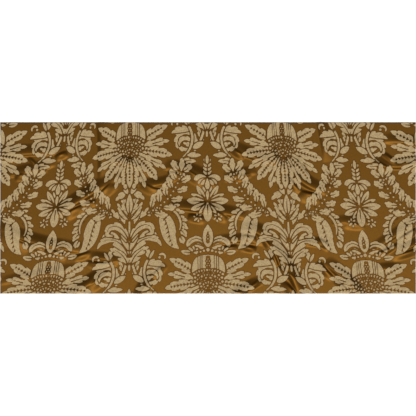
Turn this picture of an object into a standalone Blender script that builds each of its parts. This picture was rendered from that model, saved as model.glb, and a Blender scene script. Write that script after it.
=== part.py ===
"""A cut length of jacquard damask, lying on a table in its low wrinkles.

Metres, +Z up. X runs across the loom, Y along the warp and up the pattern.
The origin is on the table under the middle of the cloth.
The cloth is one sheet: its underside is the surface that touches the table,
flat at z = 0 between the wrinkles and lifted under each of them.
"""

from collections import namedtuple
import math

import bpy
import numpy as np

MM = 0.001

CLOTH_WIDTH = 1000 * MM      # across the loom
CLOTH_LENGTH = 412 * MM      # along the warp
CLOTH_THICKNESS = 1.2 * MM   # satin ground with the figure's floats

CELLS_ACROSS = 64            # facets along X
CELLS_ALONG = 36             # facets along Y

# One row for each wrinkle, in millimetres on the laid cloth. A wrinkle runs from
# (x0, y0) to (x1, y1) and is bowed sideways by `bow` in the middle, to the left
# of its run when positive. It rises over `gentle` on its far side (towards +Y)
# and falls over `steep` on its near side, to a crest `height` above the table.
Wrinkle = namedtuple("Wrinkle", "x0 y0 x1 y1 bow height gentle steep")
WRINKLES = [
    # upper left
    Wrinkle(-540, 120, -340, 132, 4, 4.0, 26, 10),
    Wrinkle(-490, 76, -365, 106, -3, 4.5, 22, 10),
    Wrinkle(-372, -22, -212, 76, 0, 7.5, 26, 14),
    Wrinkle(-262, 225, -258, 55, 5, 3.5, 22, 16),
    Wrinkle(-250, 108, -140, 76, 14, 3.5, 20, 10),
    Wrinkle(-172, 58, -66, 78, -12, 4.0, 20, 10),
    # upper middle and right
    Wrinkle(-108, 97, 24, 45, 14, 6.0, 24, 11),
    Wrinkle(38, 66, 118, 86, 2, 3.5, 20, 10),
    Wrinkle(48, 148, 175, 104, -5, 5.5, 24, 11),
    Wrinkle(183, 116, 288, 36, -16, 7.0, 26, 13),
    Wrinkle(262, 225, 284, 110, 4, 3.5, 24, 16),
    Wrinkle(392, 112, 540, 132, -22, 5.5, 24, 11),
    Wrinkle(418, 160, 540, 148, 3, 4.5, 22, 10),
    # middle
    Wrinkle(-100, 2, 100, -26, 5, 6.5, 24, 11),
    Wrinkle(78, -50, 150, -74, 4, 7.0, 26, 12),
    Wrinkle(10, -86, 140, -88, 8, 4.0, 20, 10),
    Wrinkle(136, -72, 226, -225, 10, 8.5, 24, 15),
    Wrinkle(230, -85, 296, -95, 2, 4.0, 20, 10),
    Wrinkle(300, -38, 388, -36, 3, 3.5, 20, 10),
    # lower left
    Wrinkle(-540, -34, -285, -106, -14, 6.5, 26, 12),
    Wrinkle(-292, -118, -204, -132, 2, 4.0, 18, 10),
    Wrinkle(-510, -184, -296, -144, 2, 3.0, 18, 9),
    Wrinkle(-345, -226, -222, -145, 3, 7.5, 24, 13),
    Wrinkle(-170, -226, -130, -155, 3, 5.5, 20, 13),
    # lower right
    Wrinkle(50, -218, 132, -178, 2, 6.0, 20, 11),
    Wrinkle(278, -130, 372, -226, 6, 7.5, 24, 14),
    Wrinkle(436, -118, 540, -72, 2, 5.0, 20, 10),
    Wrinkle(380, -118, 540, -18, 6, 4.0, 20, 10),
    Wrinkle(400, -150, 470, -148, 2, 4.0, 18, 9),
]

DAMASK_GOLD = (0.160, 0.085, 0.022, 1.0)
DAMASK_ROUGHNESS = 0.55


def bump(distance, reach):
    """A smooth hump: 1 at no distance, 0 with no slope at `reach` and past it."""
    share = np.clip(np.abs(distance) / reach, 0.0, 1.0)
    return (1.0 - share**2) ** 2


def wrinkle_height(x, y, wrinkle):
    """Height in metres that one wrinkle lifts the cloth by at (x, y)."""
    run_x = (wrinkle.x1 - wrinkle.x0) * MM
    run_y = (wrinkle.y1 - wrinkle.y0) * MM
    length = math.hypot(run_x, run_y)
    from_start_x = x - wrinkle.x0 * MM
    from_start_y = y - wrinkle.y0 * MM
    along = (from_start_x * run_x + from_start_y * run_y) / length**2
    across = (from_start_y * run_x - from_start_x * run_y) / length
    from_middle = 2.0 * along - 1.0
    across = across - wrinkle.bow * MM * (1.0 - from_middle**2)
    reach = np.where(across > 0, wrinkle.gentle, wrinkle.steep) * MM
    return wrinkle.height * MM * bump(across, reach) * bump(from_middle, 1.0) ** 0.5


def cloth_height(x, y):
    """Height of the underside: the root of the summed squares of the wrinkles."""
    squares = sum(wrinkle_height(x, y, wrinkle) ** 2 for wrinkle in WRINKLES)
    return np.sqrt(squares)


def remove_all_objects():
    """Clears the scene without closing the file that the script runs from."""
    for old in list(bpy.data.objects):
        bpy.data.objects.remove(old, do_unlink=True)


def damask_material():
    """Gold satin with a pale figure, shown here as one colour."""
    material = bpy.data.materials.new("damask_gold")
    material.use_nodes = True
    shader = material.node_tree.nodes["Principled BSDF"]
    shader.inputs["Base Color"].default_value = DAMASK_GOLD
    shader.inputs["Roughness"].default_value = DAMASK_ROUGHNESS
    shader.inputs["Metallic"].default_value = 0.0
    return material


def damask_cloth(collection):
    """The laid sheet: a grid lifted by the wrinkles, with its thickness above it."""
    bpy.ops.mesh.primitive_grid_add(
        x_subdivisions=CELLS_ACROSS, y_subdivisions=CELLS_ALONG, size=1.0
    )
    cloth = bpy.context.object
    cloth.name = "damask_cloth"
    cloth.data.name = "damask_cloth"
    points = np.empty(len(cloth.data.vertices) * 3)
    cloth.data.vertices.foreach_get("co", points)
    points = points.reshape(-1, 3)
    points[:, 0] *= CLOTH_WIDTH
    points[:, 1] *= CLOTH_LENGTH
    points[:, 2] = cloth_height(points[:, 0], points[:, 1])
    cloth.data.vertices.foreach_set("co", points.ravel())
    cloth.data.update()
    cloth.data.shade_smooth()
    body = cloth.modifiers.new("thickness", "SOLIDIFY")
    body.thickness = CLOTH_THICKNESS
    body.offset = 1.0
    cloth.data.materials.append(damask_material())
    for old in list(cloth.users_collection):
        old.objects.unlink(cloth)
    collection.objects.link(cloth)
    return cloth


def main():
    remove_all_objects()
    collection = bpy.data.collections.new("damask_fabric")
    bpy.context.scene.collection.children.link(collection)
    damask_cloth(collection)


main()
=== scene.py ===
# %% [markdown]
# # A cut length of jacquard damask
# This lesson dresses one piece of furnishing cloth: a gold satin ground with a pale
# matte figure, lying on a table in the low wrinkles it took when it was put down.
# The cloth is one sheet. Its pattern is drawn on point paper, as a designer draws it
# for the loom, and is then laid over the sheet column by column.

import math
from collections import namedtuple

import bpy
import numpy as np
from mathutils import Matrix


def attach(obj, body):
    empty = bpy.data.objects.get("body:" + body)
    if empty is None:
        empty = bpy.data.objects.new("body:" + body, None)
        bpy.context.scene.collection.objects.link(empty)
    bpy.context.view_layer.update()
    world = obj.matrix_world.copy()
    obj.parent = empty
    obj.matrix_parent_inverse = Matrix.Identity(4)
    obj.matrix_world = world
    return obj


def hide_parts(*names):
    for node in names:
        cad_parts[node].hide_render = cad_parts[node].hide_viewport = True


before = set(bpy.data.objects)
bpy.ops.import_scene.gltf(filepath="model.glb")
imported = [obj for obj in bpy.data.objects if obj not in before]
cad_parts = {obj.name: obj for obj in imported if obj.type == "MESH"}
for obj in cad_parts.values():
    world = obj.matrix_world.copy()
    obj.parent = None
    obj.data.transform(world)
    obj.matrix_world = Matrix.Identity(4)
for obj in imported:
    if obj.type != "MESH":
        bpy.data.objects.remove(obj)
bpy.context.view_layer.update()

# %% [markdown]
# ## Sizes
# The frame is in metres, with X across the loom, Y up the pattern and +Z up from the
# table. The pattern is easier to think of in squares of point paper, and one square
# here is 1/416 of the cloth's width, about 2.4 mm.

# %% Sizes
MM = 0.001
CLOTH_WIDTH = 1000 * MM
CLOTH_LENGTH = 412 * MM
CLOTH_THICKNESS = 1.2 * MM
SQUARES_ACROSS = 416
SQUARE = CLOTH_WIDTH / SQUARES_ACROSS
print("one square of the pattern is", round(SQUARE / MM, 2), "mm")

# %% [markdown]
# ## Wrinkles
# Cloth that is laid down keeps low ridges. Each one here rises gently on its far side
# and falls more steeply on its near side. The rows are the same as the solid's, so the
# dressed sheet lies on the solid's folds. Blender could drop a sheet with its cloth
# simulation, but it wouldn't fall into these folds, so they are given one by one.

# %% The wrinkles of the laid cloth, in millimetres
Wrinkle = namedtuple("Wrinkle", "x0 y0 x1 y1 bow height gentle steep")
WRINKLES = [
    # upper left
    Wrinkle(-540, 120, -340, 132, 4, 4.0, 26, 10),
    Wrinkle(-490, 76, -365, 106, -3, 4.5, 22, 10),
    Wrinkle(-372, -22, -212, 76, 0, 7.5, 26, 14),
    Wrinkle(-262, 225, -258, 55, 5, 3.5, 22, 16),
    Wrinkle(-250, 108, -140, 76, 14, 3.5, 20, 10),
    Wrinkle(-172, 58, -66, 78, -12, 4.0, 20, 10),
    # upper middle and right
    Wrinkle(-108, 97, 24, 45, 14, 6.0, 24, 11),
    Wrinkle(38, 66, 118, 86, 2, 3.5, 20, 10),
    Wrinkle(48, 148, 175, 104, -5, 5.5, 24, 11),
    Wrinkle(183, 116, 288, 36, -16, 7.0, 26, 13),
    Wrinkle(262, 225, 284, 110, 4, 3.5, 24, 16),
    Wrinkle(392, 112, 540, 132, -22, 5.5, 24, 11),
    Wrinkle(418, 160, 540, 148, 3, 4.5, 22, 10),
    # middle
    Wrinkle(-100, 2, 100, -26, 5, 6.5, 24, 11),
    Wrinkle(78, -50, 150, -74, 4, 7.0, 26, 12),
    Wrinkle(10, -86, 140, -88, 8, 4.0, 20, 10),
    Wrinkle(136, -72, 226, -225, 10, 8.5, 24, 15),
    Wrinkle(230, -85, 296, -95, 2, 4.0, 20, 10),
    Wrinkle(300, -38, 388, -36, 3, 3.5, 20, 10),
    # lower left
    Wrinkle(-540, -34, -285, -106, -14, 6.5, 26, 12),
    Wrinkle(-292, -118, -204, -132, 2, 4.0, 18, 10),
    Wrinkle(-510, -184, -296, -144, 2, 3.0, 18, 9),
    Wrinkle(-345, -226, -222, -145, 3, 7.5, 24, 13),
    Wrinkle(-170, -226, -130, -155, 3, 5.5, 20, 13),
    # lower right
    Wrinkle(50, -218, 132, -178, 2, 6.0, 20, 11),
    Wrinkle(278, -130, 372, -226, 6, 7.5, 24, 14),
    Wrinkle(436, -118, 540, -72, 2, 5.0, 20, 10),
    Wrinkle(380, -118, 540, -18, 6, 4.0, 20, 10),
    Wrinkle(400, -150, 470, -148, 2, 4.0, 18, 9),
]

# %% [markdown]
# ## Creases
# Between the soft ridges the cloth is pinched into sharp creases, too narrow for the
# coarse solid. Each is a narrow wall along its run: it rises from the left of the run to
# its right, and falls slowly beyond. They make the dark lines across the satin.

# %% The sharp creases, in millimetres
Crease = namedtuple("Crease", "x0 y0 x1 y1 bow height fall")
WALL = 6.0          # width of a crease's wall
CREASE_LIFT = 1.6   # a crease is this many times the height in its row
CREASE_LIMIT = 7.0  # none is higher, or a short one would stand up like a tooth
CREASES = [
    # upper left
    Crease(-505, 125, -452, 123, 0, 3.0, 14),
    Crease(-466, 79, -433, 84, 0, 3.6, 16),
    Crease(-421, 96, -387, 101, -2, 3.6, 14),
    Crease(-430, 123, -409, 99, 2, 2.4, 8),
    Crease(-370, 125, -339, 137, 0, 3.6, 14),
    Crease(-269, 29, -228, 65, 1, 6.8, 22),
    Crease(-349, -17, -298, 10, 2, 4.2, 20),
    Crease(-308, 10, -269, 19, 0, 3.0, 14),
    Crease(-161, 67, -108, 46, -5, 3.6, 20),
    Crease(-96, 89, -67, 84, 0, 3.0, 12),
    # upper middle and right
    Crease(-55, 96, -5, 63, 1, 6.8, 22),
    Crease(55, 147, 91, 125, 0, 4.2, 14),
    Crease(63, 72, 103, 87, 0, 3.0, 12),
    Crease(161, 144, 195, 84, -5, 3.6, 12),
    Crease(192, 87, 228, 41, -5, 4.2, 16),
    Crease(219, 43, 274, 34, -2, 7.5, 26),
    Crease(214, 127, 255, 67, -5, 3.6, 12),
    Crease(399, 120, 442, 96, -2, 4.2, 14),
    Crease(423, 135, 459, 106, 0, 3.6, 12),
    Crease(457, 118, 510, 103, 0, 3.0, 14),
    # middle
    Crease(-48, -14, -5, -22, 0, 6.0, 18),
    Crease(10, -5, 50, -22, 1, 6.0, 18),
    Crease(79, -65, 120, -72, 2, 6.8, 16),
    Crease(79, -89, 118, -96, 1, 4.2, 14),
    Crease(34, -94, 72, -89, 0, 3.6, 12),
    Crease(115, -55, 156, -101, 5, 6.0, 14),
    Crease(151, -94, 171, -142, 2, 7.5, 14),
    Crease(166, -137, 221, -175, 2, 7.5, 16),
    Crease(183, -175, 221, -216, 2, 9.0, 20),
    Crease(60, -197, 96, -200, 0, 6.8, 14),
    Crease(91, -195, 125, -168, 0, 3.6, 12),
    Crease(264, -70, 296, -96, 2, 4.2, 14),
    Crease(325, -34, 380, -38, 0, 3.0, 16),
    # lower left
    Crease(-510, -53, -428, -94, 4, 3.6, 28),
    Crease(-438, -82, -389, -91, 0, 6.0, 20),
    Crease(-394, -91, -337, -113, 0, 3.6, 20),
    Crease(-327, -118, -281, -103, 0, 3.0, 14),
    Crease(-293, -125, -216, -123, -7, 4.2, 16),
    Crease(-298, -197, -238, -147, 0, 6.0, 20),
    Crease(-168, -209, -137, -163, 0, 6.8, 16),
    Crease(-139, -166, -106, -132, 0, 3.0, 14),
    # lower right
    Crease(404, -111, 462, -82, 0, 3.6, 12),
    Crease(452, -79, 510, -43, 2, 4.2, 14),
    Crease(440, -115, 510, -94, 0, 6.0, 16),
    Crease(267, -125, 305, -168, -2, 3.6, 14),
    Crease(310, -171, 349, -207, 0, 4.2, 16),
]

# %% [markdown]
# ## Height of the cloth
# Every ridge and crease is one smooth hump across its line, faded towards its ends.
# Where two meet, the root of their summed squares joins them without a kink.

# %% Height of the cloth
def hump(distance, reach):
    """1 at no distance and 0 with no slope from `reach` on: (1 - (d / reach)^2)^2."""
    share = np.clip(np.abs(distance) / reach, 0.0, 1.0)
    return (1.0 - share**2) ** 2


def along_and_across(x, y, wrinkle):
    """Position from -1 to 1 along a bowed wrinkle, and distance to the left of it."""
    run_x = (wrinkle.x1 - wrinkle.x0) * MM
    run_y = (wrinkle.y1 - wrinkle.y0) * MM
    length = math.hypot(run_x, run_y)
    from_x = x - wrinkle.x0 * MM
    from_y = y - wrinkle.y0 * MM
    middle = 2.0 * (from_x * run_x + from_y * run_y) / length**2 - 1.0
    across = (from_y * run_x - from_x * run_y) / length
    return middle, across - wrinkle.bow * MM * (1.0 - middle**2)


STEEP_SHARE = 0.7   # width of a ridge's near side, as a share of the solid's
CREASE_ENDS = 0.6   # power of a crease's hump lengthways: under 1 keeps it high for longer


def ridge_height(middle, across, wrinkle):
    """A ridge: a hump across its line times the root of a hump along it."""
    reach = np.where(across > 0, wrinkle.gentle, wrinkle.steep * STEEP_SHARE) * MM
    return wrinkle.height * MM * hump(across, reach) * hump(middle, 1.0) ** 0.5


def crease_height(middle, across, crease):
    """A crease: a smooth step up over the wall, a hump's fall beyond it, faded at its ends."""
    beyond = WALL / 2 - across / MM
    rise = np.clip(beyond / WALL, 0.0, 1.0)
    rise = rise * rise * (3.0 - 2.0 * rise)
    fall = hump(np.maximum(beyond - WALL, 0.0), crease.fall)
    height = min(CREASE_LIFT * crease.height, CREASE_LIMIT) * MM
    return height * rise * fall * hump(middle, 1.0) ** CREASE_ENDS


def cloth_height(x, y):
    """Underside of the sheet: ridges and creases joined as the root of summed squares."""
    squares = np.zeros(x.shape)
    for wrinkle in WRINKLES:
        squares += ridge_height(*along_and_across(x, y, wrinkle), wrinkle) ** 2
    for crease in CREASES:
        squares += crease_height(*along_and_across(x, y, crease), crease) ** 2
    return np.sqrt(squares)


print(len(WRINKLES), "wrinkles and", len(CREASES), "creases")

# %% [markdown]
# ## Point paper
# A damask pattern is first drawn on squared paper, one repeat of it. This one is a
# mirror pattern with a half drop: each column is drawn again half a repeat away,
# moved up by half its height, and both sides of a column are the same. So only the
# right side of one column is listed below, in squares from the column's middle line.
# The drawing keeps, for each fine square, how far it is inside the figure.

# %% Squares of the repeat
DEEPEST = 3.0       # distances are kept up to this, inside the figure and outside it
REPEAT_WIDE = 156.4
REPEAT_HIGH = 266.8
FINE = 3            # fine squares to a square, each way
PAPER_WIDE = round(REPEAT_WIDE * FINE)
PAPER_HIGH = round(REPEAT_HIGH * FINE)
STEP_X = REPEAT_WIDE / PAPER_WIDE
STEP_Y = REPEAT_HIGH / PAPER_HIGH
paper = np.full((PAPER_HIGH, PAPER_WIDE), -DEEPEST)
print("paper", PAPER_WIDE, "by", PAPER_HIGH, "fine squares")


def steps_between(low, high, shift, step):
    """Whole steps of the drawing that cover a range, once it is shifted."""
    return np.arange(math.floor((low + shift) / step), math.ceil((high + shift) / step) + 1)


def places(low, high):
    """The four places of a part of the drawing: two sides of two columns.

    Each is an index into the paper, which wraps round, with x and y of its squares.
    """
    for drop in (0, 1):
        shift_x, shift_y = drop * REPEAT_WIDE / 2, drop * REPEAT_HIGH / 2
        for side in (1, -1):
            near, far = (low[0], high[0]) if side == 1 else (-high[0], -low[0])
            columns = steps_between(near, far, shift_x, STEP_X)
            rows = steps_between(low[1], high[1], shift_y, STEP_Y)
            x, y = np.meshgrid((columns * STEP_X - shift_x) * side, rows * STEP_Y - shift_y)
            yield np.ix_(rows % PAPER_HIGH, columns % PAPER_WIDE), x, y


def smooth_line(points, steps=8):
    """A smooth curve through points: each span is a Catmull-Rom cubic."""
    p = np.array(points, float)
    p = np.vstack([2 * p[0] - p[1], p, 2 * p[-1] - p[-2]])
    t = np.linspace(0, 1, steps, endpoint=False)[:, None]
    spans = [
        b + 0.5 * t * ((c - a) + t * ((2 * a - 5 * b + 4 * c - d) + t * (3 * b - a - 3 * c + d)))
        for a, b, c, d in zip(p[:-3], p[1:-2], p[2:-1], p[3:])
    ]
    return np.vstack(spans + [p[-2][None]])


# %% [markdown]
# ## Leaves, veins and beads
# Four marks draw nearly everything. A leaf is a curved middle line with a half width at
# each point, toothed on its left or right if wanted. A vein is a thin line of ground cut
# through a leaf, and a barb is a vein with spikes. A bead is a small round of figure, or
# of ground. Distances are worked out for a whole patch of the paper at once, so that each
# mark has a smooth edge at any scale.

# %% The four marks
Leaf = namedtuple("Leaf", "middle left right depth", defaults=(0, 0, 0))
Vein = namedtuple("Vein", "middle start end")
Barb = namedtuple("Barb", "middle spikes length side half", defaults=(0.6,))
Bead = namedtuple("Bead", "x y radius raised", defaults=(True,))
OUTLINE = 1.0       # line of ground that a leaf keeps round itself where it crosses another
FULLER = 0.08       # added to a leaf's half width all along it
THINNEST = 0.05     # least half width of a leaf, before that
TOOTH_LEAN = 0.9    # a notch leans to the tip by this for each square off the middle line
LOBE = 1.25         # a full notch is this times the leaf's depth and its half width
TOOTH_START = 0.05  # the first notch is this share of a tooth before the foot
NOTCH_CLOSES = 0.42
NOTCH_OPENS = 0.86  # shares of a tooth at which one notch has closed and the next opens
CLOSING_POWER = 1.2     # over 1, so that a notch runs smoothly into its lobes
OPENING_POWER = 1.5
FADE = 6            # teeth fade out over one part in six at each end
FAR = 1e9           # farther than any mark
TINY = 1e-9         # keeps a division off zero


def inside_leaf(x, y, leaf):
    """Distance inside a leaf: its half width less the distance from its middle line.

    The half width is cut by notches: one for each tooth along a side, leaning towards
    the tip. Each closes again over the first part of its tooth, which leaves round lobes.
    """
    line = smooth_line([point[:2] for point in leaf.middle])
    wide = smooth_line([(k, point[2]) for k, point in enumerate(leaf.middle)])[:, 1]
    wide = np.maximum(wide, THINNEST) + FULLER
    lengths = np.hypot(*np.diff(line, axis=0).T)
    run = np.concatenate([[0.0], np.cumsum(lengths)])
    outside = np.full(x.shape, FAR)
    half = np.zeros(x.shape)
    place = np.zeros(x.shape)
    turn = np.zeros(x.shape)
    for k, length in enumerate(lengths):
        from_x, from_y = x - line[k, 0], y - line[k, 1]
        run_x, run_y = line[k + 1] - line[k]
        t = np.clip((from_x * run_x + from_y * run_y) / (length**2 + TINY), 0, 1)
        off_x, off_y = from_x - t * run_x, from_y - t * run_y
        width = wide[k] + (wide[k + 1] - wide[k]) * t
        distance = np.hypot(off_x, off_y) - width
        closer = distance < outside
        outside = np.where(closer, distance, outside)
        half = np.where(closer, width, half)
        place = np.where(closer, (run[k] + t * length) / run[-1], place)
        turn = np.where(closer, run_x * off_y - run_y * off_x, turn)
    along = place - TOOTH_LEAN * (outside + half) / run[-1]
    fade = np.clip(place * FADE, 0, 1) * np.clip((1 - place) * FADE, 0, 1)
    for teeth, here in ((leaf.left, turn > 0), (leaf.right, turn < 0)):
        if teeth:
            phase = np.mod(teeth * along + TOOTH_START, 1.0)
            closing = np.clip(1 - phase / NOTCH_CLOSES, 0, 1)
            opening = np.clip((phase - NOTCH_OPENS) / (1 - NOTCH_OPENS), 0, 1)
            notch = closing**CLOSING_POWER + opening**OPENING_POWER
            outside = np.where(here, outside + half * leaf.depth * LOBE * notch * fade, outside)
    return -outside


# %% [markdown]
# ## Drawing the marks
# A mark reaches every place where the repeat has it. Figure is laid over the drawing by
# taking the greater distance, and ground is cut out of it by taking the lesser.

# %% Leaves and veins
EDGE_ROOM = 3       # squares round a leaf that its outline may touch
SMALL_ROOM = 2      # the same round a vein or a bead


def draw_leaf(leaf):
    """Lays a leaf over the drawing, with a thin outline of ground round it."""
    points = np.array(leaf.middle)
    reach = points[:, 2].max() + EDGE_ROOM
    for at, x, y in places(points[:, :2].min(0) - reach, points[:, :2].max(0) + reach):
        inside = inside_leaf(x, y, leaf)
        cleared = np.minimum(paper[at], -(inside + OUTLINE))
        paper[at] = np.clip(np.maximum(cleared, inside), -DEEPEST, DEEPEST)


def draw_vein(vein):
    """Cuts a thin line of ground, from its start width to its end width.

    It is worked out as a leaf, so what a leaf has added to its width is taken off.
    """
    count = len(vein.middle) - 1
    middle = [
        (x, y, vein.start + (vein.end - vein.start) * k / count - FULLER)
        for k, (x, y) in enumerate(vein.middle)
    ]
    points = np.array(vein.middle)
    for at, x, y in places(points.min(0) - SMALL_ROOM, points.max(0) + SMALL_ROOM):
        paper[at] = np.minimum(paper[at], -inside_leaf(x, y, Leaf(middle)))


# %% [markdown]
# ## Barbs and beads
# Petals and the great leaf have a vein with short spikes, which reads as shading from a
# little way off. Beads are strung along stems and fill the flower's heart.

# %% Barbs, beads and lists of marks
BARB_FOOT = 0.5     # half width of the vein where it starts, and where it ends
BARB_TIP = 0.3
SPIKE_TIP = 0.25    # half width of a spike's end
SPIKE_TURN = math.radians(55)
SPIKE_PLACE = 0.6   # a spike leaves at this share of its own stretch of the vein
SPIKE_AHEAD = 0.5   # the vein's direction is taken to a point this far on
SPIKE_LEAST = 0.55  # share of its length that a spike at either end keeps


def draw_barb(barb):
    """Cuts a vein with short spikes, evenly spaced and leaning to its tip.

    Each leaves the vein at one angle. Its length follows a half sine along the vein,
    from the least at the ends to the whole in the middle. The side is 1 for the left of
    the vein's run, -1 for the right and 0 for both.
    """
    draw_vein(Vein(barb.middle, BARB_FOOT, BARB_TIP))
    line = smooth_line(barb.middle)
    run = np.concatenate([[0.0], np.cumsum(np.hypot(*np.diff(line, axis=0).T))])
    for side in (1, -1) if barb.side == 0 else (barb.side,):
        for k in range(barb.spikes):
            share = (k + SPIKE_PLACE) / barb.spikes
            along = share * run[-1]
            x, y = (np.interp(along, run, line[:, axis]) for axis in (0, 1))
            ahead = [np.interp(along + SPIKE_AHEAD, run, line[:, axis]) for axis in (0, 1)]
            turn = math.atan2(ahead[1] - y, ahead[0] - x) + side * SPIKE_TURN
            reach = barb.length * (SPIKE_LEAST + (1 - SPIKE_LEAST) * math.sin(math.pi * share))
            tip = (x + reach * math.cos(turn), y + reach * math.sin(turn))
            draw_vein(Vein([(x, y), tip], barb.half, SPIKE_TIP))


def draw_bead(bead):
    """A round of figure with an outline, or a round hole of ground."""
    room = bead.radius + SMALL_ROOM
    for at, x, y in places((bead.x - room, bead.y - room), (bead.x + room, bead.y + room)):
        inside = bead.radius - np.hypot(x - bead.x, y - bead.y)
        if bead.raised:
            cleared = np.minimum(paper[at], -(inside + OUTLINE))
            paper[at] = np.maximum(cleared, inside)
        else:
            paper[at] = np.minimum(paper[at], -inside)


def draw(marks):
    """Draws a list of marks in order, so that later ones lie on top."""
    for mark in marks:
        if isinstance(mark, Leaf):
            draw_leaf(mark)
        elif isinstance(mark, Vein):
            draw_vein(mark)
        elif isinstance(mark, Barb):
            draw_barb(mark)
        else:
            draw_bead(mark)
    print(len(marks), "marks, figure share", round(float((paper > 0).mean()), 3))


# %% [markdown]
# ## Leaves by rule
# Every leaf, petal and stem grows by one rule: from a foot, at a heading, to a length,
# turning on its way. Its width follows one of three plain shapes. Fans, fronds and
# scrolls in a damask can all be built this way.

# %% Growing a leaf
LEAF_SHAPES = {
    "blade": (0.15, 0.65, 0.95, 1.0, 0.85, 0.5, 0.08),
    "petal": (0.2, 0.45, 0.75, 1.0, 1.0, 0.7, 0.1),
    "stem": (1.0, 1.0, 1.0, 1.0, 0.9, 0.7, 0.4),
}
RIB_FOOT = 0.6      # half width of a rib where it starts, in squares, and where it ends
RIB_TIP = 0.3


def growth(x, y, heading, length, bend=0, curl=0, part=1.0):
    """Seven points of a line that leaves (x, y) at a heading in degrees.

    It turns evenly by the bend, and by the curl with the cube of its share, so
    that a curl rolls up only its end. The part is how much of it is kept.
    """
    share = np.linspace(0, part, 7)
    middle = (share[1:] + share[:-1]) / 2
    turn = np.radians(heading + bend * middle + curl * middle**3)
    step = length * part / 6
    across = x + np.concatenate([[0.0], np.cumsum(step * np.cos(turn))])
    up = y + np.concatenate([[0.0], np.cumsum(step * np.sin(turn))])
    return list(zip(across, up))


def leaf(x, y, heading, length, half, bend=0, curl=0, shape="blade", left=0, right=0, depth=0.5):
    """A leaf by rule: the line of growth with the half width of its shape."""
    line = growth(x, y, heading, length, bend, curl)
    middle = [(a, b, half * share) for (a, b), share in zip(line, LEAF_SHAPES[shape])]
    return Leaf(middle, left, right, depth)


def rib(x, y, heading, length, bend=0, curl=0, part=0.8):
    """A vein along the first part of the same line of growth."""
    return Vein(growth(x, y, heading, length, bend, curl, part), RIB_FOOT, RIB_TIP)


def around(x, y, radius, heading):
    """The point at a distance and heading from a centre."""
    turn = math.radians(heading)
    return x + radius * math.cos(turn), y + radius * math.sin(turn)


print("leaf shapes:", ", ".join(LEAF_SHAPES))

# %% [markdown]
# ## Scrolls
# At the foot of each column two stems part. Each carries a bud and a toothed leaf that
# rolls into a rosette under a cap leaf, and ends in small leaves.

# %% Scrolls
draw([
    leaf(12, -117, 92, 52, 2.7, bend=-330, shape="stem", left=9, depth=0.6),
    leaf(16, -119, 80, 20, 2.2, bend=-190, left=3, depth=0.4),
    leaf(15, -122, 20, 10, 2.2, left=2, right=2),
    leaf(17, -106, 20, 20, 3.4, bend=-60, left=3),
    leaf(30, -98, 60, 10, 1.0, bend=-190, shape="stem"),
    Bead(30, -100, 1.3),
    leaf(5, -122, 90, 21, 2.6, bend=-30, left=2, right=3),
    rib(5, -122, 90, 21, bend=-30),
    leaf(1, -90, -90, 62, 1.1, bend=55, shape="stem"),
    leaf(19, -101, -125, 36, 1.1, bend=90, shape="stem"),
    leaf(19, -101, 95, 10, 2.4, shape="petal", left=2),
    leaf(20, -101, 60, 10, 1.3),
    leaf(14, -124, 150, 12, 2.8),
    leaf(20, -131, 176, 14, 2.6, bend=10, right=2),
    leaf(27, -138, 165, 16, 3.0, bend=25, right=2),
    rib(27, -138, 165, 16, bend=25),
    leaf(31, -138, -122, 20, 4.4, bend=20, left=2, right=2, depth=0.3),
    rib(31, -138, -122, 20, bend=20),
])

# %% [markdown]
# ## Acanthus column
# Above the scrolls pairs of acanthus leaves climb the middle line. The two longest pairs
# roll over at the tip, and a fan of smaller leaves opens above them under the flower.

# %% Acanthus
draw([
    leaf(0, -112, 90, 70, 1.0, shape="stem"),
    leaf(2, -106, 74, 25, 5.4, bend=-60, left=5, right=3, depth=0.65),
    rib(2, -106, 74, 25, bend=-60),
    leaf(1, -98, 72, 43, 5.0, bend=-75, curl=-80, left=5, right=2, depth=0.6),
    rib(1, -98, 72, 43, bend=-75, curl=-80),
    leaf(10, -80, 42, 20, 2.4, bend=-40, curl=-60, left=2),
    leaf(1, -92, 72, 22, 2.4, bend=-20),
    leaf(3, -84, 68, 20, 2.0, bend=-20),
    leaf(1, -82, 70, 41, 3.8, bend=-60, curl=-230, left=4, depth=0.45),
    rib(1, -82, 70, 41, bend=-60, curl=-230),
    leaf(8, -63, 60, 17, 2.6, bend=-50, curl=-80, left=2),
    leaf(5, -66, 80, 16, 2.4, bend=-30, left=3, right=2, depth=0.8),
    leaf(11, -60, 60, 17, 2.8, bend=-50, left=3, depth=0.8),
    leaf(0, -62, 46, 22, 3.6, bend=15, left=3, right=4, depth=0.6),
    rib(0, -62, 46, 22, bend=15),
    leaf(0, -58, 64, 24, 3.6, bend=10, left=3, right=4, depth=0.6),
    rib(0, -58, 64, 24, bend=10),
    leaf(0, -56, 90, 20, 3.2),
    rib(0, -56, 90, 20),
    leaf(3, -35, -10, 14, 3.2, bend=-40, left=2, right=2, depth=0.4),
    leaf(2, -36, 65, 12, 2.4),
])

# %% [markdown]
# ## Great side leaf
# Beside the lily hangs a great curved leaf with a barbed vein. Six small toothed leaves
# stand along the stem behind it, each turned a little further and a little shorter.

# %% Great side leaf
toothed = []
for k in range(6):
    x, y = growth(42, 82, -155, 40, bend=90)[k]
    heading = -205 + 16 * k
    toothed.append(leaf(x, y, heading, 15 - 1.4 * k, 3.1, bend=20, left=2, right=2, depth=0.35))
    toothed.append(rib(x, y, heading, 15 - 1.4 * k, bend=20, part=0.7))
draw(toothed + [
    leaf(48, 80, -132, 43, 7.4, bend=85, curl=-110, right=2, depth=0.12),
    Barb(growth(47, 78, -130, 42, bend=82, curl=-100, part=0.85), 8, 3.6, 1, 0.7),
    leaf(38, 82, -160, 26, 1.0, bend=90, shape="stem"),
])

# %% [markdown]
# ## Beaded branch
# A branch rises past the great leaf, with a string of beads for its stem. Leaves stand
# in pairs along it, the outer ones longer, and a single leaf closes its foot and its tip.

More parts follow.
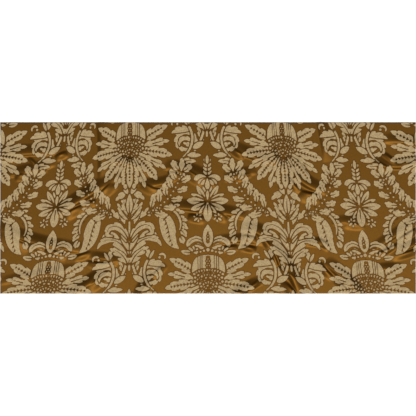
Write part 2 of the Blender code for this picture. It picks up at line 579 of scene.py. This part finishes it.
# %% Beaded branch
def station(x, y, heading, length, bend, share):
    """The point of an evenly bending line at a share of its length, and its heading there."""
    across, up = growth(x, y, heading, length, bend, part=share)[-1]
    return across, up, heading + bend * share


BRANCH = (60, 78, 158, 56, -58)
leaflets = [leaf(*BRANCH[:3], 14, 2.4, left=3, depth=0.5)]
for k in range(6):
    x, y, forward = station(*BRANCH, 0.08 + 0.18 * k)
    outer = around(x, y, 2, forward - 60)
    inner = around(x, y, 2, forward + 60)
    leaflets.append(leaf(*outer, forward - 68, 18 - k, 3.4, 50, 0, "petal", 3, 3, 0.4))
    leaflets.append(rib(*outer, forward - 68, 18 - k, 50, part=0.6))
    leaflets.append(leaf(*inner, forward + 62, 15 - 0.8 * k, 3.2, -50, 0, "petal", 3, 3, 0.4))
    leaflets.append(rib(*inner, forward + 62, 15 - 0.8 * k, -50, part=0.6))
x, y, forward = station(*BRANCH, 1.0)
leaflets.append(leaf(x, y, forward, 13, 2.8, -15, 0, "petal", 2, 2, 0.3))
beads = [Bead(*station(*BRANCH, (k + 0.3) / 12)[:2], 1.05) for k in range(12)]
draw(leaflets + beads)

# %% [markdown]
# ## Lily
# Between the branches stands an ear of grain on a small flower, over an open lily.

# %% Ear, small flower and lily
grains = [leaf(0, 114, 90, 16, 0.7, shape="stem")]
for k in range(4):
    grains.append(leaf(0.6, 116 + 4 * k, 52, 7 - 0.6 * k, 1.4, bend=15))
grains.append(leaf(0, 127, 90, 9, 1.6))

small_flower = []
for heading, length, half, bend in (
    (30, 14, 3.0, -70), (-12, 11, 1.8, -30), (-45, 9, 1.8, 0), (-90, 11, 2.2, 0),
):
    small_flower.append(leaf(0, 112, heading, length, half, bend, shape="petal"))

lily = []
for heading, length, half, bend in (
    (74, 15, 1.3, 0), (52, 18, 2.4, 10), (30, 17, 2.0, -10), (2, 19, 3.4, 5),
    (-34, 17, 2.8, 20), (-62, 13, 1.7, 20), (-90, 18, 4.0, 0), (90, 10, 1.4, 0),
):
    lily.append(leaf(*around(0, 89, 1.5, heading), heading, length, half, bend, shape="petal"))
    if half > 1.6:
        lily.append(rib(*around(0, 89, 3, heading), heading, length, bend, part=0.65))
for heading in range(0, 360, 60):
    lily.append(leaf(10, 73, heading + 20, 5, 1.0))
draw(grains + small_flower + lily)

# %% [markdown]
# ## Crown
# Over the flower's dome stands a pointed open leaf between two plumes that roll outwards,
# on a row of beads with a spray of small leaves at either side.

# %% Crown
draw([
    leaf(3, 44, 88, 28, 2.8, bend=-190, shape="petal", left=2, depth=0.3),
    rib(3, 44, 88, 28, bend=-190),
    leaf(5, 43, 70, 15, 1.5, bend=-180, shape="petal"),
    leaf(3, 42, 15, 12, 1.5, bend=10),
    *[leaf(15, 38, 130 - 35 * k, 7, 1.5, bend=20 - 20 * k) for k in range(3)],
    leaf(17, 38, 0, 10, 2.4, bend=20),
    rib(17, 38, 0, 10, bend=20),
    leaf(6, 39, -20, 9, 1.4, bend=30),
    leaf(0, 44, 90, 22, 5.0),
    Vein([(0.0, 49.0), (0.0, 53.0), (0.0, 59.0)], 1.8, 0.6),
    Bead(0, 52, 0.9),
    Bead(0, 55, 0.8),
    Bead(0, 41, 1.8),
    Bead(4, 40, 1.3),
    Bead(7.5, 39, 1.1),
])

# %% [markdown]
# ## Great flower
# The largest motif: a fan of long petals with barbed veins, some 40 degrees apart, with
# three close together at its foot. The petals between them lie behind, with two plain
# ribs each, and show little but their tips.

# %% Petals, those behind first
HEART = (0, 8)
petals = []
for heading in (18, -22, -62):
    x, y = around(*HEART, 8, heading)
    petals.append(leaf(x, y, heading, 33, 4.2, bend=-14, shape="petal", left=4, right=4, depth=0.5))
    for side in (-6, 6):
        petals.append(rib(*around(x, y, 16, heading + side), heading + side / 2, 15, part=0.8))
for k, heading in enumerate((38, -2, -42, -78)):
    x, y = around(*HEART, 8, heading)
    length = 37 - 2 * k
    petals.append(leaf(x, y, heading, length, 5.2, bend=-14, shape="petal", left=4, right=4, depth=0.3))
    petals.append(Barb(growth(x, y, heading, length, bend=-14, part=0.85), 9, 2.6, 0))
petals.append(leaf(0, 2, -90, 32, 3.8, shape="petal", left=2, right=2, depth=0.25))
petals.append(Barb(growth(0, 2, -90, 32, part=0.8), 8, 1.8, 0))
draw(petals)

# %% [markdown]
# ## Dome and seeds
# The dome is half of a rounded square, ruled with upright lines, with an open heart of
# beads. Its edge is worked out by formula, since a straight foot is no leaf's shape. Under
# it the seeds are small beads in arcs round the flower's foot, set a little unevenly.

# %% Dome and seeds
DOME_FOOT = 17.0
DOME_HEIGHT = 19.0
DOME_HALF = 16.0
DOME_PATCH = ((-20, 14), (20, 38))  # it is drawn in these squares, and clears no others
DOME_SLOPE = 0.7        # distance to the curved edge, for each square across
DOME_LINES = (6.0, 8.0, 10.0)
LINE_HALF = 0.4
SEED_RINGS = 8
SEED_FIRST = 3.4        # radius of the first arc of seeds
SEED_RING = 2.55        # from one arc to the next
SEED_STEP = 2.75        # from one seed to the next
SEED_TRIES = 12         # places along an arc, more than it can hold
SEED_TURN = 1.0         # an arc ends this far round, in radians
SEED_SHAKE = 0.5        # how far a seed is off its place, at most, along it and up
SEED_HALF = 14          # no seed further across or up than these
SEED_TOP = 21
SEED_RADIUS = 1.3
SEED_HOLE = 0.3

for at, x, y in places(*DOME_PATCH):
    rise = np.clip((y - DOME_FOOT) / DOME_HEIGHT, 0, 1)
    edge = DOME_HALF * (1 - rise**3) ** (1 / 3)
    dome = np.minimum((edge - np.abs(x)) * DOME_SLOPE, y - DOME_FOOT)
    cleared = np.minimum(paper[at], -(dome + OUTLINE))
    drawn = np.maximum(cleared, dome)
    for line in DOME_LINES:
        drawn = np.minimum(drawn, np.abs(np.abs(x) - line) - LINE_HALF)
    paper[at] = np.clip(drawn, -DEEPEST, DEEPEST)

draw([Vein([(0.0, 33.0), (0.0, 28.0), (0.0, 22.0)], 2.5, 2.5)])
draw([Bead(1.2 * (k % 2), 23.0 + 2.2 * k, 0.8) for k in range(5)])

seeds = []
for ring in range(SEED_RINGS):
    radius = SEED_FIRST + SEED_RING * ring
    for k in range(SEED_TRIES):
        turn = (k + 0.5 * (ring % 2)) * SEED_STEP / radius
        turn += SEED_SHAKE * math.sin(5 * ring + 3 * k) / radius * (turn > 0)
        x = radius * math.sin(turn)
        y = radius * math.cos(turn) + SEED_SHAKE * math.cos(4 * ring + 7 * k)
        if turn < SEED_TURN and x < SEED_HALF and y < SEED_TOP:
            seeds += [Bead(x, y, SEED_RADIUS), Bead(x, y, SEED_HOLE, False)]
draw(seeds)

# %% [markdown]
# ## Laying the pattern on the cloth
# Cloth is never quite straight on a table. Each column of the pattern leans a little,
# and the two sides of the cloth sag towards the viewer, so the crowns there sit lower
# than the one in the middle. Between two columns the pattern is stretched evenly.

# %% Where the columns lie on the cloth, in squares
COLUMN_ROW = 77.0       # columns are placed on the row this far above the middle
MIDDLE_ROW = 82.7       # row of the repeat that lies on the middle, where nothing sags

# x is from the cloth's left edge, and the lean is to the right for each square down
Column = namedtuple("Column", "number x lean")
COLUMNS = [
    Column(-3, -9.0, -0.16),
    Column(-2, 65.5, -0.1255),
    Column(-1, 129.7, -0.004),
    Column(0, 206.9, 0.009),
    Column(1, 282.0, 0.068),
    Column(2, 350.5, 0.118),
    Column(3, 429.0, 0.15),
]
Sag = namedtuple("Sag", "x down")
SAGS = [
    Sag(0, 6), Sag(51, 6), Sag(100, 3), Sag(129, 0.5), Sag(160, 0),
    Sag(265, 0), Sag(290, 1), Sag(315, 4), Sag(363, 5.5), Sag(416, 6),
]


def pattern_of_cloth(x, y):
    """Squares of the repeat at cloth points: linear between the leaning columns."""
    across = SQUARES_ACROSS / 2 + x / SQUARE
    up = y / SQUARE
    numbers = [column.number * REPEAT_WIDE / 2 for column in COLUMNS]
    u = np.empty(x.shape)
    for row in range(x.shape[0]):
        lines = [column.x + column.lean * (COLUMN_ROW - up[row, 0]) for column in COLUMNS]
        u[row] = np.interp(across[row], lines, numbers)
    sag = np.interp(across, [s.x for s in SAGS], [s.down for s in SAGS])
    return u, MIDDLE_ROW + up + sag


def sample_paper(u, v):
    """Reads the drawing between its squares, by linear steps both ways."""
    across = np.mod(u / STEP_X, PAPER_WIDE)
    up = np.mod(v / STEP_Y, PAPER_HIGH)
    i, j = np.floor(across).astype(int), np.floor(up).astype(int)
    a, b = across - i, up - j
    i0, j0, i1, j1 = i % PAPER_WIDE, j % PAPER_HIGH, (i + 1) % PAPER_WIDE, (j + 1) % PAPER_HIGH
    low = paper[j0, i0] * (1 - a) + paper[j0, i1] * a
    high = paper[j1, i0] * (1 - a) + paper[j1, i1] * a
    return low * (1 - b) + high * b


print(len(COLUMNS), "columns reach the cloth")

# %% [markdown]
# ## Grid of the sheet
# A grid a little finer than the pattern's squares carries the figure as one value at each
# point: the share of figure round it. A picture could carry it too, but a drawing kept in
# the mesh goes wherever the mesh goes and needs no file.

# %% Grid of the sheet
FINE_ACROSS = 480       # cells of the upper face
FINE_ALONG = 198
COARSE = 6              # cells of it to one of the underside, each way
SHIFTS = (-0.4, -0.2, 0.0, 0.2, 0.4)
SHARPNESS = 2.0         # how fast a finer point turns from ground to figure

x_line = np.linspace(-0.5, 0.5, FINE_ACROSS + 1) * CLOTH_WIDTH
y_line = np.linspace(-0.5, 0.5, FINE_ALONG + 1) * CLOTH_LENGTH
top_x, top_y = np.meshgrid(x_line, y_line)
under = cloth_height(top_x, top_y)

# share of figure in the area around each point, from 5 by 5 finer points
share = np.zeros(top_x.shape)
cell_x, cell_y = x_line[1] - x_line[0], y_line[1] - y_line[0]
for shift_x in SHIFTS:
    for shift_y in SHIFTS:
        inside = sample_paper(*pattern_of_cloth(top_x + shift_x * cell_x, top_y + shift_y * cell_y))
        share += np.clip(inside * SHARPNESS + 0.5, 0.0, 1.0) / len(SHIFTS) ** 2
print("figure covers", round(float(share.mean()), 3), "of the cloth")

# %% [markdown]
# ## The sheet
# One closed sheet: the fine upper face, a coarser underside, and a narrow wall between
# them. Solidify would give both faces the same fine grid, and the underside shows
# nothing that needs it. It takes the lowest of the heights around each of its points, so
# that it never comes through the upper face.

# %% Points and faces
top_z = under + CLOTH_THICKNESS
top_points = np.stack([top_x, top_y, top_z], axis=-1).reshape(-1, 3)
low_x, low_y = top_x[::COARSE, ::COARSE], top_y[::COARSE, ::COARSE]
padded_under = np.pad(under, COARSE, mode="edge")
low_z = np.min(
    [
        padded_under[COARSE + dy : COARSE + dy + under.shape[0], COARSE + dx : COARSE + dx + under.shape[1]]
        for dy in range(-COARSE, COARSE + 1, 2)
        for dx in range(-COARSE, COARSE + 1, 2)
    ],
    axis=0,
)[::COARSE, ::COARSE]
low_points = np.stack([low_x, low_y, low_z], axis=-1).reshape(-1, 3)


def grid_faces(rows, columns, first, upwards):
    """Four-sided faces between neighbouring points of a grid."""
    index = first + np.arange(rows * columns).reshape(rows, columns)
    a, b, c, d = index[:-1, :-1], index[:-1, 1:], index[1:, 1:], index[1:, :-1]
    order = (a, b, c, d) if upwards else (a, d, c, b)
    return np.stack([corner.ravel() for corner in order], axis=-1)


def edge_loop(rows, columns, first):
    """Points round the border of a grid, anticlockwise from its first corner."""
    index = first + np.arange(rows * columns).reshape(rows, columns)
    return np.concatenate([index[0, :-1], index[:-1, -1], index[-1, :0:-1], index[:0:-1, 0]])


fine_rows, fine_columns = top_x.shape
coarse_rows, coarse_columns = low_x.shape
top_faces = grid_faces(fine_rows, fine_columns, 0, True)
low_faces = grid_faces(coarse_rows, coarse_columns, len(top_points), False)
upper = edge_loop(fine_rows, fine_columns, 0)
lower = edge_loop(coarse_rows, coarse_columns, len(top_points))
nearest = lower[((np.arange(len(upper)) + COARSE // 2) // COARSE) % len(lower)]
wall_upper = np.stack([upper, nearest, np.roll(upper, -1)], axis=-1)
middle = upper[np.arange(len(lower)) * COARSE + COARSE // 2]
wall_lower = np.stack([lower, np.roll(lower, -1), middle], axis=-1)

faces = [*top_faces.tolist(), *low_faces.tolist(), *wall_upper.tolist(), *wall_lower.tolist()]
mesh = bpy.data.meshes.new("damask_sheet")
mesh.from_pydata(np.vstack([top_points, low_points]).tolist(), [], faces)
mesh.update()
cloth = bpy.data.objects.new("damask_sheet", mesh)
bpy.context.scene.collection.objects.link(cloth)
triangles = 2 * (len(top_faces) + len(low_faces)) + len(wall_upper) + len(wall_lower)
print(len(mesh.vertices), "points", triangles, "triangles")

# %% [markdown]
# ## Pattern and maps
# The share of figure goes into an attribute, which the material reads. One map is the
# cloth spread flat, in metres. The other puts upper face, underside and wall apart from
# one another, for a bake of the finish.

# %% Pattern, smooth faces and the two maps
MAP_SCALE = 0.99        # map units to a metre
UNDERSIDE_SCALE = 0.9   # the same, up the map, for the underside and the wall
WALL_SCALE = 0.02
UPPER_AT = 0.76         # height in the map of each part's middle line
UNDERSIDE_AT = 0.24
WALL_AT = 0.5

figure = mesh.attributes.new("figure", "FLOAT", "POINT")
values = np.concatenate([share.ravel(), np.zeros(len(low_points))])
figure.data.foreach_set("value", values.astype(np.float32))
smooth = np.zeros(len(mesh.polygons), bool)
smooth[: len(top_faces) + len(low_faces)] = True
mesh.polygons.foreach_set("use_smooth", smooth)

corners = np.empty(len(mesh.loops), int)
mesh.loops.foreach_get("vertex_index", corners)
points = np.vstack([top_points, low_points])[corners]
kind = np.concatenate([
    np.zeros(4 * len(top_faces), int),
    np.ones(4 * len(low_faces), int),
    np.full(3 * (len(wall_upper) + len(wall_lower)), 2),
])
loom = mesh.uv_layers.new(name="loom")
loom.data.foreach_set("uv", points[:, :2].ravel())
bake = mesh.uv_layers.new(name="OFBake")
bake_u = 0.5 + points[:, 0] * MAP_SCALE
bake_v = np.choose(kind, [
    UPPER_AT + points[:, 1] * MAP_SCALE,
    UNDERSIDE_AT + points[:, 1] * UNDERSIDE_SCALE,
    WALL_AT + points[:, 1] * WALL_SCALE,
])
bake.data.foreach_set("uv", np.stack([bake_u, bake_v], axis=-1).ravel())
print("maps:", ", ".join(layer.name for layer in mesh.uv_layers))

# %% [markdown]
# ## Two weaves in one cloth
# The ground is satin: its threads float over many others, so it is smooth and glossy
# and its folds look deep. The figure is a matte, slightly grainy weave of pale yarn.
# They are one piece of cloth, so one shader changes between them, about where the share
# of figure passes one half.

# %% Helpers for the finish
GROUND_COLOUR = (0.132, 0.058, 0.0075)
FIGURE_COLOUR = (0.410, 0.297, 0.152)
# the edge colour is painted shade: the dark brown the ground takes beside the raised figure
EDGE_SHADE_COLOUR = (0.082, 0.035, 0.0040)

damask = bpy.data.materials.new("damask")
damask.use_nodes = True
tree = damask.node_tree
tree.nodes.clear()


def node(kind, place, **values):
    """Adds a node at a place, and sets its properties."""
    new = tree.nodes.new(kind)
    new.location = place
    for name, value in values.items():
        setattr(new, name, value)
    return new


def ramp(source, place, low, high, to_low, to_high, kind="LINEAR"):
    """Carries a value from one range to another, and stops at both ends."""
    new = node("ShaderNodeMapRange", place, interpolation_type=kind)
    names = ("From Min", "From Max", "To Min", "To Max")
    for name, value in zip(names, (low, high, to_low, to_high)):
        new.inputs[name].default_value = value
    tree.links.new(source, new.inputs["Value"])
    return new.outputs["Result"]


def mixed(factor, first, second, place):
    """One colour at no factor and the other at 1. Each is three values or an output."""
    new = node("ShaderNodeMix", place, data_type="RGBA")
    tree.links.new(factor, new.inputs["Factor"])
    for name, colour in (("A", first), ("B", second)):
        if isinstance(colour, tuple):
            new.inputs[name].default_value = (*colour, 1.0)
        else:
            tree.links.new(colour, new.inputs[name])
    return new.outputs["Result"]


def scaled(colour, factor, place):
    """A colour times a factor. The colour is three values or an output."""
    new = node("ShaderNodeVectorMath", place, operation="SCALE")
    if isinstance(colour, tuple):
        new.inputs[0].default_value = colour
    else:
        tree.links.new(colour, new.inputs[0])
    tree.links.new(factor, new.inputs["Scale"])
    return new.outputs["Vector"]


# %% [markdown]
# ## Where the figure is
# The share of figure is turned into two masks. One is the figure itself, from ground to
# full figure over a short rise. The other is a thin band just outside it, where the
# ground is darkened as painted shade, standing in for the shadow of the raised figure.

# %% Figure and its painted edge shade
FIGURE_FROM = 0.36
FIGURE_FULL = 0.70
SHADE_BAND_FROM = (0.02, 0.22)    # the band comes in over these shares
SHADE_BAND_TO = (0.35, 0.6)       # and goes out over these

share_node = node("ShaderNodeAttribute", (-1400, 200), attribute_name="figure")
share_value = share_node.outputs["Fac"]
mask = ramp(share_value, (-1100, 300), FIGURE_FROM, FIGURE_FULL, 0.0, 1.0, "SMOOTHSTEP")
# edge is the band of painted shade on the ground just outside the figure
edge = node("ShaderNodeMath", (-850, 0), operation="MULTIPLY")
tree.links.new(ramp(share_value, (-1100, 100), *SHADE_BAND_FROM, 0.0, 1.0), edge.inputs[0])
tree.links.new(ramp(share_value, (-1100, -100), *SHADE_BAND_TO, 1.0, 0.0), edge.inputs[1])
print("the figure begins at a share of", FIGURE_FROM)

# %% [markdown]
# ## Grain and colour
# Single threads are too fine to see from here, so a fine noise on the cloth's own
# coordinates stands for them: faint on the smooth satin, stronger on the matte figure.

# %% Grain and colour
GRAIN_SCALE = 420           # about one grain to 2.4 mm
GRAIN_RANGE = (0.3, 0.7)    # the part of the noise that is used
GROUND_SHADES = (0.90, 1.10)
FIGURE_SHADES = (0.72, 1.28)

coordinates = node("ShaderNodeTexCoord", (-1600, -400))
grain = node("ShaderNodeTexNoise", (-1300, -400))
grain.inputs["Scale"].default_value = GRAIN_SCALE
grain.inputs["Detail"].default_value = 3
grain.inputs["Roughness"].default_value = 0.6
tree.links.new(coordinates.outputs["Object"], grain.inputs["Vector"])
ground_shade = ramp(grain.outputs["Fac"], (-1000, -300), *GRAIN_RANGE, *GROUND_SHADES)
figure_shade = ramp(grain.outputs["Fac"], (-1000, -500), *GRAIN_RANGE, *FIGURE_SHADES)
# in the band the ground is mixed towards the edge colour, as painted shade along the figure
shade_edged_ground = mixed(edge.outputs[0], GROUND_COLOUR, EDGE_SHADE_COLOUR, (-400, -100))
grainy_ground = scaled(shade_edged_ground, ground_shade, (0, -100))
grainy_figure = scaled(FIGURE_COLOUR, figure_shade, (0, -300))
colour = mixed(mask, grainy_ground, grainy_figure, (300, 100))
print("ground", GROUND_COLOUR, "figure", FIGURE_COLOUR)

# %% [markdown]
# ## Sheen and relief
# Satin reflects light in the colour of its yarn, as a rough metal does, so the ground is
# mostly metallic and the figure isn't. The figure's floats stand a hair above the ground,
# which a slight bump gives: it is far thinner than the sheet's grid could show.

# %% The finished cloth
SATIN_ROUGHNESS = 0.53
MATTE_ROUGHNESS = 0.9
SATIN_METALLIC = 0.75
SPECULAR_LEVEL = 0.08
RELIEF_STRENGTH = 0.4
RELIEF_HEIGHT = 0.6 * MM

output = node("ShaderNodeOutputMaterial", (1200, 0))
shader = node("ShaderNodeBsdfPrincipled", (900, 0))
roughness = ramp(mask, (300, -200), 0, 1, SATIN_ROUGHNESS, MATTE_ROUGHNESS)
metallic = ramp(mask, (300, -400), 0, 1, SATIN_METALLIC, 0.0)
tree.links.new(colour, shader.inputs["Base Color"])
tree.links.new(roughness, shader.inputs["Roughness"])
tree.links.new(metallic, shader.inputs["Metallic"])
shader.inputs["Specular IOR Level"].default_value = SPECULAR_LEVEL

relief = node("ShaderNodeBump", (600, -300))
relief.inputs["Strength"].default_value = RELIEF_STRENGTH
relief.inputs["Distance"].default_value = RELIEF_HEIGHT
tree.links.new(mask, relief.inputs["Height"])
tree.links.new(relief.outputs["Normal"], shader.inputs["Normal"])
tree.links.new(shader.outputs["BSDF"], output.inputs["Surface"])
mesh.materials.append(damask)
print(len(tree.nodes), "nodes in the finish")

# %% [markdown]
# ## Into the frame
# The sheet rides on the part's only body and takes the place of its plain solid.

# %% Into the frame
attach(cloth, "root")
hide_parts("damask_cloth")

# %% [markdown]
# ## Table
# The cloth lies on a white table, just under its underside so that the two never share a
# face. A little glow of its own keeps the table white right up to the cloth.

# %% Table
TABLE_SIZE = 6.0
TABLE_DROP = 0.5 * MM
TABLE_WHITE = 0.9
TABLE_ROUGHNESS = 0.9
TABLE_GLOW = 0.35

bpy.ops.mesh.primitive_plane_add(size=TABLE_SIZE, location=(0, 0, -TABLE_DROP))
floor = bpy.context.object
floor.name = "table_top"
white = bpy.data.materials.new("white_table")
white.use_nodes = True
table_inputs = white.node_tree.nodes["Principled BSDF"].inputs
table_inputs["Base Color"].default_value = (TABLE_WHITE, TABLE_WHITE, TABLE_WHITE, 1)
table_inputs["Roughness"].default_value = TABLE_ROUGHNESS
table_inputs["Emission Color"].default_value = (1, 1, 1, 1)
table_inputs["Emission Strength"].default_value = TABLE_GLOW
floor.data.materials.append(white)

# %% [markdown]
# ## Light
# Light comes from the near side, 63 degrees up and a little to one side, from a source
# wide enough for soft shadows. Folds that lean to it shine and folds that lean away go
# dark. A faint even light fills the rest.

# %% Light
WORLD_STRENGTH = 0.085
SUN_ENERGY = 3.4
SUN_WIDTH = math.radians(11)
SUN_HEIGHT = math.radians(63)
SUN_TURN = math.radians(8)

world = bpy.context.scene.world or bpy.data.worlds.new("studio")
bpy.context.scene.world = world
world.use_nodes = True
world.node_tree.nodes["Background"].inputs["Color"].default_value = (1, 1, 1, 1)
world.node_tree.nodes["Background"].inputs["Strength"].default_value = WORLD_STRENGTH

sun = bpy.data.lights.new("window", "SUN")
sun.energy = SUN_ENERGY
sun.angle = SUN_WIDTH
sun_object = bpy.data.objects.new("window", sun)
bpy.context.scene.collection.objects.link(sun_object)
sun_object.rotation_euler = (math.pi / 2 - SUN_HEIGHT, 0, SUN_TURN)

# %% [markdown]
# ## Camera
# The camera looks straight down from where the cloth's width just fills the picture.

# %% Camera
LENS = 85       # in millimetres, as the sensor is
SENSOR = 36
CAMERA_HEIGHT = CLOTH_WIDTH * LENS / SENSOR + 2 * MM
FARTHEST = 50

camera_data = bpy.data.cameras.new("camera")
camera_data.lens = LENS
camera_data.sensor_width = SENSOR
camera_data.clip_end = FARTHEST
camera = bpy.data.objects.new("camera", camera_data)
camera.location = (0, 0, CAMERA_HEIGHT)
bpy.context.scene.collection.objects.link(camera)
bpy.context.scene.camera = camera
bpy.context.scene.view_settings.view_transform = "Standard"
print("camera", round(CAMERA_HEIGHT, 3), "m above the table")
